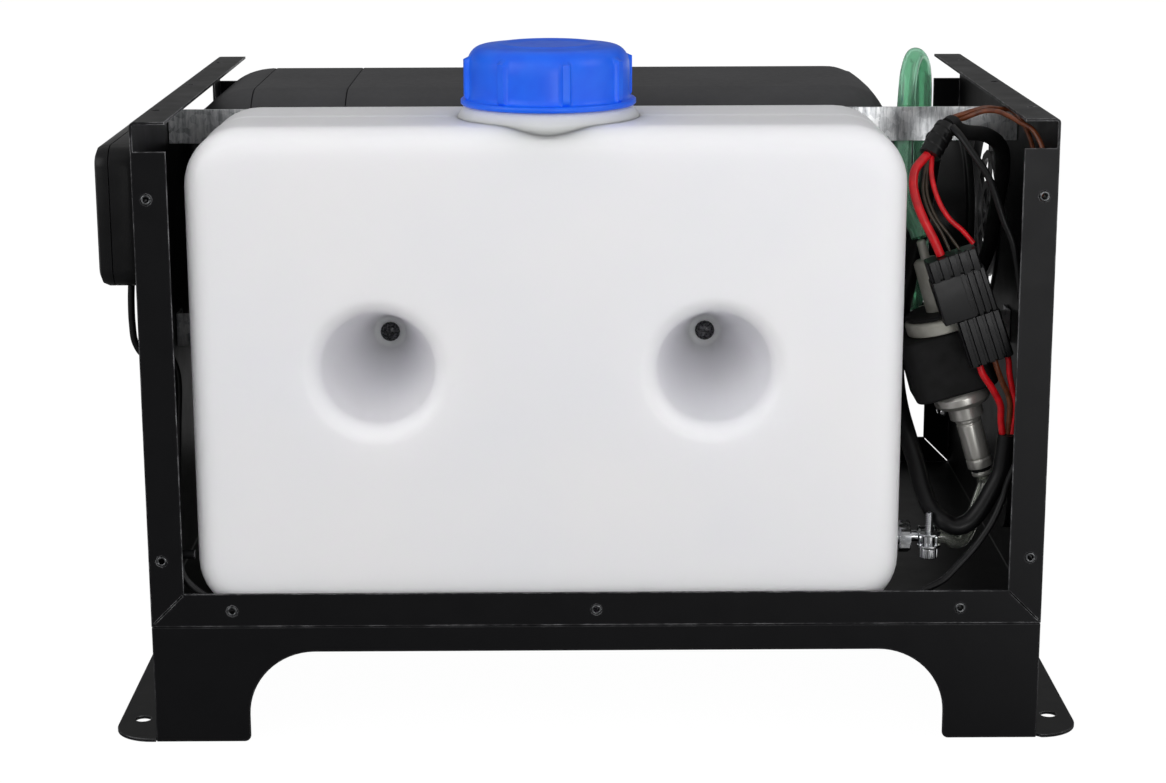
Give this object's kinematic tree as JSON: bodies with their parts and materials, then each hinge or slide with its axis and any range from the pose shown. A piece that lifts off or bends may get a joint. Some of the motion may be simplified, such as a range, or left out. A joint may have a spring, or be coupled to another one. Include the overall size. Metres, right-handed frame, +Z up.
{
  "type": "diesel air heater",
  "caption": "All-in-one diesel air heater with its outer cover off: black case on a stand, milky fuel tank with a blue cap, heater, fuel pump, hoses, wiring and a side controller.",
  "frame": {"origin": "on the ground, under the middle of the case", "axes": "+X to the right seen from the tank side, +Y from the tank towards the back, +Z up"},
  "size_m": [0.441, 0.277, 0.311],
  "materials": {
    "black_powder_coat": "semi-gloss powder coat",
    "translucent_polyethylene": "blow moulded, satin, milky",
    "blue_polypropylene": "moulded, satin",
    "nitrile_rubber": "smooth",
    "galvanised_sheet": "hot-dip galvanised, spangled",
    "zinc_plated_steel": "bright zinc plated",
    "stainless_steel": "rolled stainless",
    "bare_steel": "turned",
    "black_rubber": "matt",
    "grey_textured_plastic": "fine grained, glass filled",
    "black_plastic": "moulded, satin",
    "cast_aluminium": "die cast",
    "board_laminate": "solder mask",
    "gasket_fibre": "pressed fibre",
    "display_window": "clear over a dark display",
    "green_hose": "translucent polyurethane",
    "clear_hose": "translucent",
    "black_cable": "PVC sheath",
    "brown_wire": "PVC insulation",
    "red_wire": "PVC insulation",
    "button_rubber": "silicone key"
  },
  "bodies": {
    "case": {"case_tray": "black_powder_coat", "stand_front": "black_powder_coat", "stand_back": "black_powder_coat", "stand_right": "black_powder_coat", "stand_left": "black_powder_coat", "fuel_tank": "translucent_polyethylene", "cross_strip_upper": "galvanised_sheet", "cross_strip_lower": "galvanised_sheet", "tank_screw_left": "zinc_plated_steel", "tank_screw_right": "zinc_plated_steel", "tank_outlet": "zinc_plated_steel", "hose_clamp": "stainless_steel", "pump_body": "zinc_plated_steel", "pump_sleeve": "black_rubber", "pump_end": "bare_steel", "plunger_spring": "bare_steel", "heater_shell_upper": "grey_textured_plastic", "heater_shell_lower": "grey_textured_plastic", "outlet_band": "grey_textured_plastic", "outlet_hood": "grey_textured_plastic", "inlet_nose": "black_plastic", "heat_exchanger": "cast_aluminium", "combustion_chamber": "cast_aluminium", "glow_plug": "bare_steel", "blower_housing": "cast_aluminium", "motor": "bare_steel", "control_board": "board_laminate", "heater_cradle": "galvanised_sheet", "base_gasket": "gasket_fibre", "exhaust_pipe": "stainless_steel", "intake_pipe": "black_rubber", "inlet_grille": "black_plastic", "outlet_ring": "black_plastic", "cable_grommet": "black_rubber", "power_gland": "black_plastic", "controller_front": "black_plastic", "controller_back": "black_plastic", "controller_screen": "display_window", "fuel_hose_green": "green_hose", "fuel_hose_clear": "clear_hose", "controller_cable": "black_cable", "harness_tape": "black_cable", "heater_lead": "black_cable", "brown_wires": "brown_wire", "red_wires": "red_wire", "connector_socket": "black_plastic", "connector_plug": "black_plastic", "low_wires": "red_wire", "harness_loop": "black_cable"},
    "cap_carrier": {"cap_liner": "nitrile_rubber"},
    "cap": {"filler_cap": "blue_polypropylene"},
    "rotor": {"rotor_shaft": "bare_steel", "heating_fan": "black_plastic", "combustion_fan": "cast_aluminium"},
    "plunger": {"pump_plunger": "bare_steel"},
    "key_1": {"button_1": "button_rubber"},
    "key_2": {"button_2": "button_rubber"},
    "key_3": {"button_3": "button_rubber"},
    "key_4": {"button_4": "button_rubber"},
    "key_5": {"button_5": "button_rubber"}
  },
  "joints": [
    {"name": "cap_lift", "type": "slide", "parent": "case", "child": "cap_carrier", "axis": [0, 0, 1], "range_m": [0, 0.0121]},
    {"name": "cap_turn", "type": "hinge", "parent": "cap_carrier", "child": "cap", "pos_m": [-0.0205, -0.0895, 0.29], "axis": [0, 0, 1], "range_deg": [0, 720]},
    {"name": "rotor_spin", "type": "hinge", "parent": "case", "child": "rotor", "pos_m": [0.1, 0.0465, 0.211], "axis": [1, 0, 0], "continuous": true},
    {"name": "plunger_stroke", "type": "slide", "parent": "case", "child": "plunger", "axis": [0.2773, 0, -0.9608], "range_m": [0, 0.003], "stiffness_N_per_m": 300, "springref_m": -0.002, "deforming": ["plunger_spring"]},
    {"name": "button_1_press", "type": "slide", "parent": "case", "child": "key_1", "axis": [1, 0, 0], "range_m": [0, 0.0008], "stiffness_N_per_m": 400, "springref_m": -0.001},
    {"name": "button_2_press", "type": "slide", "parent": "case", "child": "key_2", "axis": [1, 0, 0], "range_m": [0, 0.0008], "stiffness_N_per_m": 400, "springref_m": -0.001},
    {"name": "button_3_press", "type": "slide", "parent": "case", "child": "key_3", "axis": [1, 0, 0], "range_m": [0, 0.0008], "stiffness_N_per_m": 400, "springref_m": -0.001},
    {"name": "button_4_press", "type": "slide", "parent": "case", "child": "key_4", "axis": [1, 0, 0], "range_m": [0, 0.0008], "stiffness_N_per_m": 400, "springref_m": -0.001},
    {"name": "button_5_press", "type": "slide", "parent": "case", "child": "key_5", "axis": [1, 0, 0], "range_m": [0, 0.0008], "stiffness_N_per_m": 400, "springref_m": -0.001}
  ],
  "couplings": [
    {"joint": "cap_lift", "follows": "cap_turn", "m_per_rad": 0.00095493}
  ]
}
